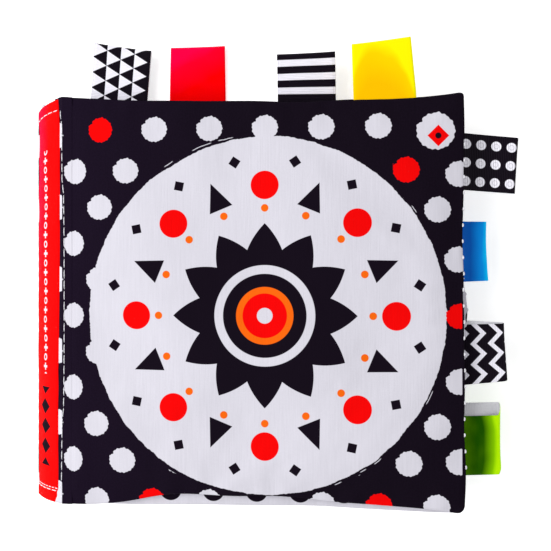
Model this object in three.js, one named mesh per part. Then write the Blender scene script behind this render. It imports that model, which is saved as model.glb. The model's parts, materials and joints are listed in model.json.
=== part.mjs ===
// Cloth crinkle book for a baby, lying closed on its back cover.
// Two padded covers and four padded leaves turn on a soft slanting spine, and eight ribbon tags are sewn
// into their free edges. Units are millimetres. +X runs from the spine to the fore edge, +Y to the head of
// the page and +Z up. The origin is the middle of the whole book's box, on the surface that it rests on.
import * as THREE from "three";

// Covers and leaves
const coverWidth = 149;
const coverHeight = 152.6;
const leafWidth = 150.4;
const leafHeight = 151.8;
const leafFootShift = 1.4;
const leafCount = 4;
const cornerRadius = 3;
const seamRun = 6;
const headDrawIn = 1.9;
const footDrawIn = 2;
const frontFootDrawIn = 4.2;
const foreDrawIn = 0.9;
const clothThickness = 0.4;
const filmThickness = 0.25;
const layerGap = 0.2;
const crownHeight = 1.5;
const crownRun = 16;
const boundRun = 12;
const boundCrownShare = 0.58;
const foreCrownShare = 1.4;

// Fan of the closed book
const spineLean = 12.8;
const lowestLeafRise = 4.1;
const leafRise = 3.15;
const lowestLeafTilt = THREE.MathUtils.degToRad(1.4);
const leafTilt = THREE.MathUtils.degToRad(1);

// Creases
const backCreaseGap = 1.5;
const frontCreaseGap = 0.6;
const leafCreaseGap = 0.45;
const leafStandOff = 0.95;

// Spine
const spineBulge = 1.6;
const redStripWidth = 16.4;
const liningMargin = 3.6;
const hemDepth = 5;

// Thread
const threadRadius = 0.25;
const threadSides = 5;
const threadInset = 3.4;
const topstitchInset = 2.6;
const creaseStitchInset = 0.5;
const hemStitchInset = 3.8;

// Ribbon tags
const ribbonWidth = 22;
const ribbonThickness = 0.38;
const ribbonMouth = 0.2;
const ribbonLoopRadius = 1.1;
const tagSeamGap = 0.7;
// A head tag's middle is a share of the way from hinge to fore edge. A fore tag's middle is a share of the
// half height above the middle. Droop turns a tag down from its panel's plane.
const headTags = {
  triangle: { acrossShare: 0.178, length: 24.1, droop: THREE.MathUtils.degToRad(0) },
  red: { acrossShare: 0.418, length: 24, droop: THREE.MathUtils.degToRad(-3.8) },
  stripe: { acrossShare: 0.649, length: 21, droop: THREE.MathUtils.degToRad(0) },
  yellow: { acrossShare: 0.808, length: 19.4, droop: THREE.MathUtils.degToRad(2) },
};
const foreTags = {
  dot: { upShare: 0.665, length: 18.7, droop: THREE.MathUtils.degToRad(8) },
  blue: { upShare: 0.26, length: 14.2, droop: THREE.MathUtils.degToRad(49) },
  chevron: { upShare: -0.239, length: 15.7, droop: THREE.MathUtils.degToRad(10) },
  green: { upShare: -0.694, length: 17.5, droop: THREE.MathUtils.degToRad(12) },
};

// Worked out from the sizes above
const seamHalf = layerGap / 2 + clothThickness;
const frontRise = lowestLeafRise + leafRise * leafCount;
const spineLength = Math.hypot(spineLean, frontRise);
const spineSlope = Math.atan2(frontRise, spineLean);
const frontTilt = lowestLeafTilt + leafTilt * leafCount;
const leafAxisDepth = seamHalf + leafStandOff;
const up = new THREE.Vector3(0, 0, 1);

// Materials, one finish for each kind of cloth or trim
const colours = {
  blackCloth: 0x1e1822,
  whiteCloth: 0xe0dee8,
  redCloth: 0xff0500,
  wadding: 0xf4f2ec,
  film: 0xd8dce4,
  whiteThread: 0xe8e6ee,
  blackThread: 0x1c1a20,
  yellowSatin: 0xffc800,
  blueSatin: 0x0090e6,
  greenSatin: 0x6ec800,
  redSatin: 0xe8141c,
  printedRibbon: 0x2a262e,
};

function finish(colour, roughness) {
  return new THREE.MeshStandardMaterial({ color: colours[colour], roughness, metalness: 0 });
}

function piece(name, geometry, material) {
  geometry.computeVertexNormals();
  const mesh = new THREE.Mesh(geometry, material);
  mesh.name = name;
  return mesh;
}

// A closed solid between two height fields over a grid of stations. The plan function says where a
// station lies, and low and high give the two heights there.
function slab(columns, rows, plan, low, high) {
  const positions = [];
  const faces = [];
  const across = columns.length;
  const along = rows.length;
  for (const height of [low, high]) {
    for (const row of rows) {
      for (const column of columns) {
        const [x, y] = plan(column, row);
        positions.push(x, y, height(column, row));
      }
    }
  }
  const layer = across * along;
  const at = (i, j, upper) => j * across + i + (upper ? layer : 0);
  const quad = (a, b, c, d) => faces.push(a, b, c, a, c, d);
  for (let j = 0; j < along - 1; j += 1) {
    for (let i = 0; i < across - 1; i += 1) {
      quad(at(i, j, true), at(i + 1, j, true), at(i + 1, j + 1, true), at(i, j + 1, true));
      quad(at(i, j), at(i, j + 1), at(i + 1, j + 1), at(i + 1, j));
    }
  }
  for (let i = 0; i < across - 1; i += 1) {
    quad(at(i, 0), at(i + 1, 0), at(i + 1, 0, true), at(i, 0, true));
    quad(at(i + 1, along - 1), at(i, along - 1), at(i, along - 1, true), at(i + 1, along - 1, true));
  }
  for (let j = 0; j < along - 1; j += 1) {
    quad(at(0, j + 1), at(0, j), at(0, j, true), at(0, j + 1, true));
    quad(at(across - 1, j), at(across - 1, j + 1), at(across - 1, j + 1, true), at(across - 1, j, true));
  }
  const geometry = new THREE.BufferGeometry();
  geometry.setAttribute("position", new THREE.Float32BufferAttribute(positions, 3));
  geometry.setIndex(faces);
  return geometry;
}

// A thread along a list of points that all lie across the given side direction.
function threadAlong(points, side) {
  const positions = [];
  const faces = [];
  points.forEach((point, i) => {
    const before = points[Math.max(0, i - 1)];
    const after = points[Math.min(points.length - 1, i + 1)];
    const forward = after.clone().sub(before).normalize();
    const outward = new THREE.Vector3().crossVectors(forward, side).normalize();
    const upward = new THREE.Vector3().crossVectors(outward, forward);
    for (let k = 0; k < threadSides; k += 1) {
      const turn = (2 * Math.PI * k) / threadSides;
      const spot = point.clone();
      spot.addScaledVector(outward, threadRadius * Math.cos(turn));
      spot.addScaledVector(upward, threadRadius * Math.sin(turn));
      positions.push(spot.x, spot.y, spot.z);
    }
  });
  const last = (points.length - 1) * threadSides;
  for (let i = 0; i < points.length - 1; i += 1) {
    for (let k = 0; k < threadSides; k += 1) {
      const a = i * threadSides + k;
      const b = i * threadSides + ((k + 1) % threadSides);
      faces.push(a, a + threadSides, b, b, a + threadSides, b + threadSides);
    }
  }
  for (let k = 1; k < threadSides - 1; k += 1) {
    faces.push(0, k, k + 1);
    faces.push(last, last + k + 1, last + k);
  }
  const geometry = new THREE.BufferGeometry();
  geometry.setAttribute("position", new THREE.Float32BufferAttribute(positions, 3));
  geometry.setIndex(faces);
  return geometry;
}

function easeUp(distance, run) {
  return Math.sin((Math.PI / 2) * THREE.MathUtils.clamp(distance / run, 0, 1));
}

// One panel's own shape: its drawn-in plan with turned-out corners, and the crown of its two faces.
// A panel lies along +X from its hinge axis, with its middle surface at height zero.
function panelShape({ width, height, footIn, creaseGap, crownUp, crownDown, fine }) {
  const half = height / 2;

  function plan(x, y) {
    const cornerX = width - cornerRadius;
    const cornerY = half - cornerRadius;
    let [px, py] = [x, y];
    const beyondX = x - cornerX;
    const beyondY = Math.abs(y) - cornerY;
    if (beyondX > 0 && beyondY > 0) {
      const shrink = Math.max(beyondX, beyondY) / Math.hypot(beyondX, beyondY);
      px = cornerX + beyondX * shrink;
      py = Math.sign(y) * (cornerY + beyondY * shrink);
    }
    const foreShare = (px / width) * Math.cos((Math.PI * py) / height);
    const sideShare = (py / half) * Math.sin((Math.PI * px) / width);
    const drawIn = py > 0 ? headDrawIn : footIn;
    return [px - foreDrawIn * foreShare, py - drawIn * sideShare];
  }

  function crown(x, y) {
    const free = Math.min(width - x, half - Math.abs(y));
    const spread = THREE.MathUtils.lerp(boundCrownShare, foreCrownShare, x / width);
    return Math.min(easeUp(free, crownRun), easeUp(x - creaseGap, boundRun)) * spread;
  }

  const middles = fine ? [1 / 4, 1 / 2, 3 / 4] : [1 / 2];
  const edgeRuns = fine
    ? [crownRun, (crownRun + seamRun) / 2, seamRun, seamRun / 2]
    : [crownRun, seamRun, seamRun / 2];
  const foreStations = edgeRuns.map((run) => width - run);
  const headStations = edgeRuns.map((run) => half - run);
  return {
    width,
    half,
    creaseGap,
    plan,
    columns: [
      creaseGap,
      creaseGap + boundRun / 3,
      creaseGap + boundRun,
      ...middles.map((share) => width * share),
      ...foreStations,
      width,
    ],
    rows: [
      -half,
      ...headStations.map((y) => -y).reverse(),
      ...middles.map((share) => height * (share - 1 / 2)),
      ...headStations,
      half,
    ],
    upperOutside: (x, y) => seamHalf + crownUp * crown(x, y),
    upperInside: (x, y) => layerGap / 2 + crownUp * crown(x, y),
    lowerInside: (x, y) => -layerGap / 2 - crownDown * crown(x, y),
    lowerOutside: (x, y) => -seamHalf - crownDown * crown(x, y),
  };
}

// A filling stays inside a panel's seams, so it leaves out the two stations nearest to each edge.
const fillEdge = 2;

// The cloths, the crinkle film, the wadding and the seam thread of one panel.
function panel(name, clothNames, clothColours, shape) {
  const group = new THREE.Group();
  const { columns, rows, plan } = shape;
  const fillColumns = columns.slice(fillEdge, -fillEdge);
  const fillRows = rows.slice(fillEdge, -fillEdge);
  const filmTop = (x, y) => shape.upperInside(x, y) - layerGap;
  const filmBottom = (x, y) => filmTop(x, y) - filmThickness;
  const waddingTop = (x, y) => filmBottom(x, y) - layerGap;
  const waddingBottom = (x, y) => shape.lowerInside(x, y) + layerGap;
  const upper = slab(columns, rows, plan, shape.upperInside, shape.upperOutside);
  const lower = slab(columns, rows, plan, shape.lowerOutside, shape.lowerInside);
  const film = slab(fillColumns, fillRows, plan, filmBottom, filmTop);
  const wadding = slab(fillColumns, fillRows, plan, waddingBottom, waddingTop);
  group.add(piece(name + "_" + clothNames.upper, upper, finish(clothColours.upper, 0.9)));
  group.add(piece(name + "_" + clothNames.lower, lower, finish(clothColours.lower, 0.9)));
  group.add(piece(name + "_crinkle_film", film, finish("film", 0.25)));
  group.add(piece(name + "_wadding", wadding, finish("wadding", 0.95)));
  group.add(piece(name + "_edge_thread", edgeThread(shape), finish("blackThread", 0.7)));
  return group;
}

// The seam thread runs round the three free sides, between the two cloths.
function edgeThread(shape) {
  const { width, half, creaseGap } = shape;
  const foot = -half + threadInset;
  const head = half - threadInset;
  const fore = width - threadInset;
  const bend = cornerRadius / 2;
  const stations = [
    [creaseGap + threadInset, foot],
    [width / 2, foot],
    [fore - bend, foot],
    [fore, foot + bend],
    [fore, 0],
    [fore, head - bend],
    [fore - bend, head],
    [width / 2, head],
    [creaseGap + threadInset, head],
  ];
  const points = stations.map(([x, y]) => {
    const [px, py] = shape.plan(x, y);
    return new THREE.Vector3(px, py, (shape.upperInside(x, y) + shape.lowerInside(x, y)) / 2);
  });
  return threadAlong(points, up);
}

// A ribbon folded into a loop, lying along +X from the seam, with its two layers apart at the fold.
function ribbonLoop(length) {
  const foldRadius = ribbonLoopRadius + ribbonThickness;
  const foldCentre = length - foldRadius;
  const outline = new THREE.Shape();
  outline.moveTo(0, -ribbonMouth / 2 - ribbonThickness);
  outline.lineTo(foldCentre, -foldRadius);
  outline.absarc(foldCentre, 0, foldRadius, -Math.PI / 2, Math.PI / 2);
  outline.lineTo(0, ribbonMouth / 2 + ribbonThickness);
  outline.lineTo(0, ribbonMouth / 2);
  outline.lineTo(foldCentre, ribbonLoopRadius);
  outline.absarc(foldCentre, 0, ribbonLoopRadius, Math.PI / 2, -Math.PI / 2, true);
  outline.lineTo(0, -ribbonMouth / 2);
  outline.closePath();
  const geometry = new THREE.ExtrudeGeometry(outline, {
    depth: ribbonWidth,
    bevelEnabled: false,
    curveSegments: 6,
  });
  geometry.deleteAttribute("uv");
  geometry.rotateX(Math.PI / 2);
  geometry.translate(0, ribbonWidth / 2, 0);
  return geometry;
}

// A tag seated on the edge between two corners of its ribbon, so it follows the drawn-in edge.
function tagBetween(name, colour, from, to, { length, droop }) {
  const [fromX, fromY] = from;
  const [toX, toY] = to;
  const outward = Math.atan2(fromX - toX, toY - fromY);
  const seat = new THREE.Group();
  const middleX = (fromX + toX) / 2;
  const middleY = (fromY + toY) / 2;
  seat.position.set(middleX + tagSeamGap * Math.cos(outward), middleY + tagSeamGap * Math.sin(outward), 0);
  seat.rotation.set(0, droop, outward, "ZYX");
  seat.add(piece(name, ribbonLoop(length), finish(colour, 0.4)));
  return seat;
}

function headTag(name, colour, shape, tag) {
  const across = shape.width * tag.acrossShare;
  const from = shape.plan(across + ribbonWidth / 2, shape.half);
  const to = shape.plan(across - ribbonWidth / 2, shape.half);
  return tagBetween(name, colour, from, to, tag);
}

function foreTag(name, colour, shape, tag) {
  const along = shape.half * tag.upShare;
  const from = shape.plan(shape.width, along - ribbonWidth / 2);
  const to = shape.plan(shape.width, along + ribbonWidth / 2);
  return tagBetween(name, colour, from, to, tag);
}

// The soft spine lies along +X from the back crease, with its outside towards +Z.
function spine() {
  const group = new THREE.Group();
  const start = backCreaseGap;
  const end = spineLength - frontCreaseGap;
  const redStart = (spineLength - redStripWidth) / 2;
  const redEnd = redStart + redStripWidth;
  const half = coverHeight / 2;
  const plan = (x, y) => [x, y];
  const bulge = (x) => spineBulge * Math.sin((Math.PI * x) / spineLength);
  const outside = (x) => seamHalf + bulge(x);
  const inside = (x) => outside(x) - clothThickness;
  const liningOutside = () => -layerGap / 2;
  const liningInside = () => -seamHalf;
  const ends = [-half, half];
  const stations = (from, to, count) =>
    Array.from({ length: count + 1 }, (_, i) => from + ((to - from) * i) / count);

  const strip = (name, from, to, count, colour) =>
    group.add(piece(name, slab(stations(from, to, count), ends, plan, inside, outside), finish(colour, 0.9)));
  strip("spine_back_margin", start, redStart - layerGap, 3, "blackCloth");
  strip("spine_red_strip", redStart, redEnd, 6, "redCloth");
  strip("spine_front_margin", redEnd + layerGap, end, 3, "blackCloth");

  const liningColumns = [liningMargin, spineLength - liningMargin / 2];
  const lining = slab(liningColumns, ends, plan, liningInside, liningOutside);
  group.add(piece("spine_lining", lining, finish("whiteCloth", 0.9)));

  const padEnd = half - hemDepth - layerGap;
  const padColumns = stations(redStart - layerGap, redEnd + layerGap, 6);
  const padTop = (x) => inside(x) - layerGap;
  const padBottom = () => layerGap / 2;
  const pad = slab(padColumns, [-padEnd, padEnd], plan, padBottom, padTop);
  group.add(piece("spine_wadding", pad, finish("wadding", 0.95)));

  const hemColumns = stations(redStart, redEnd, 6);
  const hemTop = (x) => inside(x) - layerGap;
  const hemBottom = (x) => hemTop(x) - clothThickness;
  const head = slab(hemColumns, [half - hemDepth, half], plan, hemBottom, hemTop);
  const tail = slab(hemColumns, [-half, hemDepth - half], plan, hemBottom, hemTop);
  group.add(piece("spine_head_hem", head, finish("redCloth", 0.9)));
  group.add(piece("spine_tail_hem", tail, finish("redCloth", 0.9)));

  const onTop = (x) => outside(x) + layerGap + threadRadius;
  const sideways = new THREE.Vector3(0, 1, 0);
  const hemStitch = (name, y) => {
    const points = stations(redStart + layerGap, redEnd - layerGap, 6);
    const path = points.map((x) => new THREE.Vector3(x, y, onTop(x)));
    group.add(piece(name, threadAlong(path, sideways), finish("whiteThread", 0.7)));
  };
  hemStitch("spine_head_stitching", half - hemStitchInset);
  hemStitch("spine_tail_stitching", hemStitchInset - half);

  const creaseX = start + topstitchInset / 2;
  const crease = [hemDepth - half, half - hemDepth];
  const creasePath = crease.map((y) => new THREE.Vector3(creaseX, y, onTop(creaseX)));
  group.add(piece("back_crease_stitching", threadAlong(creasePath, up), finish("whiteThread", 0.7)));
  return group;
}

const book = new THREE.Group();

// A body of the book hinged on an axis along Y, at a place across and above the back crease. A shift
// slides it towards the foot.
function place(group, x, z, tilt, shift = 0) {
  group.position.set(x, -shift, seamHalf + z);
  group.rotation.y = -tilt;
  book.add(group);
  return group;
}

const coverSizes = { width: coverWidth, height: coverHeight, footIn: footDrawIn, fine: true };
const leafSizes = { width: leafWidth, height: leafHeight, footIn: footDrawIn, fine: false };
const evenCrown = { crownUp: crownHeight, crownDown: crownHeight };

// Back cover: flat underneath, so its whole crown is on the inside.
const backShape = panelShape({
  ...coverSizes,
  creaseGap: backCreaseGap,
  crownUp: 2 * crownHeight,
  crownDown: 0,
});
const backNames = { upper: "inner_cloth", lower: "outer_cloth" };
const backCover = panel("back_cover", backNames, { upper: "whiteCloth", lower: "blackCloth" }, backShape);
backCover.add(headTag("red_satin_tag", "redSatin", backShape, headTags.red));
place(backCover, 0, 0, 0);

place(spine(), 0, 0, spineSlope);

// Leaves, from the lowest, leaf 4, to the highest, leaf 1. Their hinge axes stand off the lining.
const leafShape = panelShape({ ...leafSizes, creaseGap: leafCreaseGap, ...evenCrown });
const leafNames = { upper: "upper_cloth", lower: "lower_cloth" };
const bindingEnds = [-leafHeight / 2 + topstitchInset, leafHeight / 2 - topstitchInset];
const bindingPath = bindingEnds.map((y) => new THREE.Vector3(0, y, 0));
const leaves = [];
for (let i = 0; i < leafCount; i += 1) {
  const rise = lowestLeafRise + leafRise * i;
  const alongSpine = (rise + leafAxisDepth * Math.cos(spineSlope)) / Math.sin(spineSlope);
  const x = alongSpine * Math.cos(spineSlope) + leafAxisDepth * Math.sin(spineSlope);
  const name = "leaf_" + (leafCount - i);
  const leaf = panel(name, leafNames, { upper: "whiteCloth", lower: "blackCloth" }, leafShape);
  leaf.add(piece(name + "_binding_thread", threadAlong(bindingPath, up), finish("blackThread", 0.7)));
  place(leaf, x, rise, lowestLeafTilt + leafTilt * i, leafFootShift);
  leaves.unshift(leaf);
}
const [leaf1, leaf2, leaf3, leaf4] = leaves;
leaf4.add(headTag("triangle_tag", "printedRibbon", leafShape, headTags.triangle));
leaf3.add(headTag("stripe_tag", "printedRibbon", leafShape, headTags.stripe));
leaf2.add(foreTag("green_satin_tag", "greenSatin", leafShape, foreTags.green));
leaf1.add(foreTag("chevron_tag", "printedRibbon", leafShape, foreTags.chevron));
leaf1.add(foreTag("blue_satin_tag", "blueSatin", leafShape, foreTags.blue));

// Front cover
const frontSizes = { ...coverSizes, footIn: frontFootDrawIn, creaseGap: frontCreaseGap };
const frontShape = panelShape({ ...frontSizes, ...evenCrown });
const frontNames = { upper: "outer_cloth", lower: "inner_cloth" };
const frontColours = { upper: "blackCloth", lower: "whiteCloth" };
const frontCover = panel("front_cover", frontNames, frontColours, frontShape);
const frontStitchX = frontCreaseGap + creaseStitchInset;
const frontStitchY = coverHeight / 2 - topstitchInset;
const frontStitch = [-frontStitchY, frontStitchY].map((y) => {
  const lift = frontShape.upperOutside(frontStitchX, 0) + layerGap + threadRadius;
  return new THREE.Vector3(frontStitchX, y, lift);
});
const frontStitching = threadAlong(frontStitch, up);
frontCover.add(piece("front_crease_stitching", frontStitching, finish("whiteThread", 0.7)));
frontCover.add(headTag("yellow_satin_tag", "yellowSatin", frontShape, headTags.yellow));
frontCover.add(foreTag("dot_tag", "printedRibbon", frontShape, foreTags.dot));
place(frontCover, spineLean, frontRise, frontTilt);

// The origin is the middle of the book's box, on the surface that the back cover rests on.
book.updateMatrixWorld(true);
const box = new THREE.Box3().setFromObject(book, true);
const middle = box.getCenter(new THREE.Vector3());
book.position.set(-middle.x, -middle.y, -box.min.z);

export default book;
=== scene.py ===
"""Looks for the cloth crinkle book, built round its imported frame.

Shapes are worked out in millimetres in each panel's own place, x from its hinge to its fore edge, y up the
page and z through its thickness, and put into the row frame in metres.
"""
import json
from functools import partialmethod, reduce
from math import atan2, cos, hypot, pi, radians, sin, sqrt

import bpy
import numpy as np
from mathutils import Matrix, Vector


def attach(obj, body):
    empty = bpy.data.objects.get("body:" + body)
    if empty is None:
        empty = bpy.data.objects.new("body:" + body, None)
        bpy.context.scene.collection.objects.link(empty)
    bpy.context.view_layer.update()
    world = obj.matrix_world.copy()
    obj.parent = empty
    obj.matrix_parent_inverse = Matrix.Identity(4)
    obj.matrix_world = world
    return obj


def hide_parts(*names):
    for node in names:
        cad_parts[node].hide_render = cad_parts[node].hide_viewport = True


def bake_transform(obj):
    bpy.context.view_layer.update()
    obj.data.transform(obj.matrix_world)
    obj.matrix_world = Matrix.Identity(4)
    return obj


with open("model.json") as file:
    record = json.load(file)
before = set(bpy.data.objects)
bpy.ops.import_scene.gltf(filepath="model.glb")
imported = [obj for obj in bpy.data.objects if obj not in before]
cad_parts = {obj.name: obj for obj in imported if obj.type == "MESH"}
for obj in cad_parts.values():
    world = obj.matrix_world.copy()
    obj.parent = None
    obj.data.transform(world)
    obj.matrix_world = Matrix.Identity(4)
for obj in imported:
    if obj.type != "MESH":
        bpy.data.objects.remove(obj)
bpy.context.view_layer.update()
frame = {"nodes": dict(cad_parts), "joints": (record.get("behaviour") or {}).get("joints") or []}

MM = 0.001
TINY = 1e-6

# Panels
COVER = {"width": 149, "height": 152.6}
LEAF = {"width": 150.4, "height": 151.8}
FRONT_TILT = radians(5.4)
LOWEST_LEAF_TILT = radians(1.4)
LEAF_TILT = radians(1)
LEAF_COUNT = 4
SEAM_HALF = 0.5
CROWN_HEIGHT = 1.5
CROWN_RUN = 16
BOUND_RUN = 12
BOUND_CROWN_SHARE = 0.58
FORE_CROWN_SHARE = 1.4
FRONT_CREASE_GAP = 0.6
BACK_CREASE_GAP = 1.5
LEAF_CREASE_GAP = 0.45
HEAD_CORNER = 1.8
FOOT_CORNER = 3
EDGE_STATIONS = (0, 0.25, 0.6, 1.1, 1.8, 2.7, 3.8)
PAGE_STEP = 1.55
BROAD_WAVE = 62
SLOW_WAVE = 34
GATHER_WAVE = 7.5
GATHER_HEIGHT = 0.16
ROUGH_EDGE = 0.18

# How far each panel's edges are drawn in by their seams, at these places from the hinge to the fore edge
EDGE_PLACES = (0, 10, 22, 37, 55, 79, 104, 123, 134, 141, 150)
COVER_HEAD = (-0.4, 0.35, 1.05, 1.6, 2.1, 2.5, 2.5, 2.27, 1.85, 1.1, -0.2)
COVER_FOOT = (0.15, 0.45, 1.4, 3.85, 4.65, 4.6, 3.2, 2.05, 1.1, 0.45, -0.2)
BACK_EDGE = (2.2, 0.9, 1, 1.5, 1.8, 1.9, 1.6, 1.3, 0.9, 0.5, 0)
LEAF_HEAD = (0, 0.4, 0.9, 1.4, 1.8, 2, 1.6, 1.1, 0.6, 0.3, 0)
LEAF_FOOT = (0.35, 0.4, 0.6, 0.85, 1.2, 1.55, 1, 0.25, -0.05, -0.2, -0.3)
# A fore edge's hollows and swellings: where along the edge, how deep and over what run
COVER_FORE = ((30, 0.75, 16), (2, 0.55, 4.5), (-70, -0.25, 16), (0, -0.1, 999))
PLAIN_FORE = ((0, 0.9, 60),)
FIRST_LEAF_FORE = ((0, 0.9, 60), (-3, -2, 11), (-12, 1, 4))
LIP_RUN = 0.8
# The rim of a pad: how far in from its edge and how high each loop of points lies
PAD_LIPS = ((0.14, 0.12), (0.5, 0), (0.14, -0.12))

# Margin cloth that laps over a cover's pad at the crease
LAP_FLAT = 1.6
LAP_END = 3.9
LAP_TUCK = 0.36
LAP_PROUD = 0.03
MARGIN_LAP = np.linspace(0.5, LAP_END, 9)

# Cloth simulation of the pads, and how high its folds stand in the end
SIM_STEP = 3.2
SIM_EDGE = (0, 1.6, 3.4)
SIM_BOUND = 2
SIM_START = 0.85
SIM_FRAMES = 20
SIM_CLOTH = {
    "quality": 6, "mass": 0.15, "tension_stiffness": 20, "compression_stiffness": 20, "shear_stiffness": 8,
    "bending_stiffness": 0.4, "use_pressure": True, "uniform_pressure_force": 0.4, "pin_stiffness": 1,
    "vertex_group_mass": "bound", "vertex_group_shrink": "seam", "shrink_min": -0.012, "shrink_max": 0.03,
}
FRONT_FOLDS = 0.36
OTHER_FOLDS = 0.16

# Filling
FILLING_GAP = 6
FILLING_INSET = 7

# Spine
SPINE_BULGE = 1.6
CORNER_DROP = 2.6
RED_WIDTH = 16.4
RED_TUCK = 0.42
MARGIN_UNDERLAP = 2.2
HEM_DEPTH = 5
CLOTH = 0.4

# Stitching: the hems' stitch lines up the book, and some stitches' length, pitch, thread radius and rise
HEAD_LINES = (COVER["height"] / 2 - 4.3,)
TAIL_LINES = (4.5 - COVER["height"] / 2, 5.5 - COVER["height"] / 2)
CREASE_STITCH = (3.6, 4, 0.17, 0.14)
EDGE_STITCH = (1.7, 5.85, 0.36, 0.4)
BACK_STITCH_ANGLE = radians(200)
STITCH_RINGS = 7
STITCH_SIDES = 6

# Ribbon tags
TAG_WIDTH = 22
LOOP_HALF = 1.29
MOUTH_HALF = 0.3
SEWN_IN = 2.2

# Stage and camera, whose place is over the cover in millimetres
FLOOR_HALF = 1500
FLOOR_WHITE = (0.94, 0.94, 0.94)
KEY_PLACE = (-0.45, 0.03, 0.5)
CAMERA_OVER = (80.07, 9.58)
CAMERA_HEIGHT = 374
VIEW_ANGLE = radians(32.4)

# Print
DOT_RADIUS = 4.7
DOT_PITCH = 20.7
ROW_PITCH = 13.45
EVEN_ROW = (14.6, 35)
ODD_ROW = (3.9, 21.55)
FORE_DOTS = ((128.1, 47.75), (146.9, 46.2), (139.3, 33.3), (146.5, 15.3), (147.1, -28.9), (139.3, -45.1),
             (147.1, -57.8), (129.1, -58.5))
RED_FORE_DOT = (147, -5.2)
RED_DOTS = ((14.6, 63.8), FORE_DOTS[0], (33.9, -74.3), (119.1, -74.3))
BIG_DOT = (138.7, 61.7)
BIG_DOT_RADIUS = 6.78
PRINT_END = 148.2
MARK_PITCH = 7.2
FRAME_HALF = 64
# White strokes beside the disc's rim: their middles and half lengths in radians
STROKES = ((1.79, 0.04), (1.93, 0.055), (2.14, 0.026), (-0.455, 0.038), (0.62, 0.02), (-0.905, 0.022),
           (-1, 0.016), (-1.155, 0.018))
DISC = {"x": 76.6, "y": -5.2, "radius": 65.9}
CREASE_SHRINK = 0.19
CREASE_REACH = 9.3


# Fields: numbers worked out by shader nodes

WHOLE_TURN = 2 * pi


def feed(tree, slot, value):
    """Gives a shader input a field, a socket, a colour or a number."""
    if isinstance(value, Field):
        value = value.socket
    if isinstance(value, bpy.types.NodeSocket):
        tree.links.new(value, slot)
    else:
        slot.default_value = (*value, 1) if slot.type == "RGBA" else value


class Field:
    """A number that shader nodes work out over the cloth. Fields add and multiply as plain numbers do."""

    def __init__(self, tree, socket):
        self.tree = tree
        self.socket = socket

    def node(self, operation, *others, clamp=False):
        node = self.tree.nodes.new("ShaderNodeMath")
        node.operation = operation
        node.use_clamp = clamp
        for slot, value in zip(node.inputs, (self, *others)):
            feed(self.tree, slot, value)
        return Field(self.tree, node.outputs[0])

    __add__ = __radd__ = partialmethod(node, "ADD")
    __sub__ = partialmethod(node, "SUBTRACT")
    __mul__ = __rmul__ = partialmethod(node, "MULTIPLY")
    size = partialmethod(node, "ABSOLUTE")
    sine = partialmethod(node, "SINE")
    most = partialmethod(node, "MAXIMUM")
    clip = partialmethod(node, "ADD", 0, clamp=True)

    def __rsub__(self, other):
        return self * -1 + other

    def wrap(self, pitch):
        """The signed distance from the nearest whole number of pitches."""
        return self.node("WRAP", pitch / 2, -pitch / 2)

    def fold(self, pitch):
        return self.wrap(pitch).size()

    def below(self, limit, soft=0.16):
        """1 where the field is below the limit and 0 where it is above, over a soft edge."""
        return ((limit - self) * (1 / soft)).node("ADD", 0.5, clamp=True)

    def above(self, limit, soft=0.16):
        return 1 - self.below(limit, soft)

    def near(self, middle, half, soft=0.16):
        return (self - middle).size().below(half, soft)


def reach(x, y):
    return (x * x + y * y).node("SQRT")


def turn(x, y):
    return y.node("ARCTAN2", x)


def either(a, b):
    return a.most(b)


class Finish:
    """A cloth or thread finish: a material, its print coordinates in millimetres and its shader."""

    def __init__(self, name, roughness=0.85, specular=0.03, tint=(1, 1, 1)):
        self.material = bpy.data.materials.new(name)
        self.material.use_nodes = True
        self.tree = self.material.node_tree
        self.shader = self.tree.nodes["Principled BSDF"]
        self.set("Roughness", roughness)
        self.set("Specular IOR Level", specular)
        self.set("Specular Tint", tint)
        print_place = self.add("UVMap", {}, uv_map="print").outputs[0]
        parts = self.add("SeparateXYZ", {0: print_place}).outputs
        self.x = Field(self.tree, parts[0])
        self.y = Field(self.tree, parts[1])

    def set(self, slot, value):
        feed(self.tree, self.shader.inputs[slot], value)

    def add(self, kind, inputs, **settings):
        """A new shader node with these inputs and settings."""
        node = self.tree.nodes.new("ShaderNode" + kind)
        for name, value in settings.items():
            setattr(node, name, value)
        for slot, value in inputs.items():
            feed(self.tree, node.inputs[slot], value)
        return node

    def noise(self, across, along, detail=2.0, shift=0.0):
        """Noise from 0 to 1 whose grains are so many millimetres across and along."""
        place = self.add("CombineXYZ", {0: self.x * (1 / across), 1: self.y * (1 / along) + shift})
        node = self.add("TexNoise", {"Vector": place.outputs[0], "Scale": 1, "Detail": detail})
        return Field(self.tree, node.outputs[0])

    def mix(self, base, over, mask):
        """The base colour with the other over it where the mask is 1."""
        return self.add("Mix", {0: mask, 6: base, 7: over}, data_type="RGBA").outputs[2]

    def shade(self, colour, amount):
        """The colour made lighter or darker by a field about 1."""
        return self.add("VectorMath", {0: colour, "Scale": amount}, operation="SCALE").outputs[0]

    def made(self, colour, height, depth):
        """The material with its colour, and with a bump of so many millimetres for a height of 1."""
        self.set("Base Color", colour)
        self.set("Normal", self.add("Bump", {"Distance": depth * MM, "Height": height}).outputs[0])
        return self.material


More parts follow.
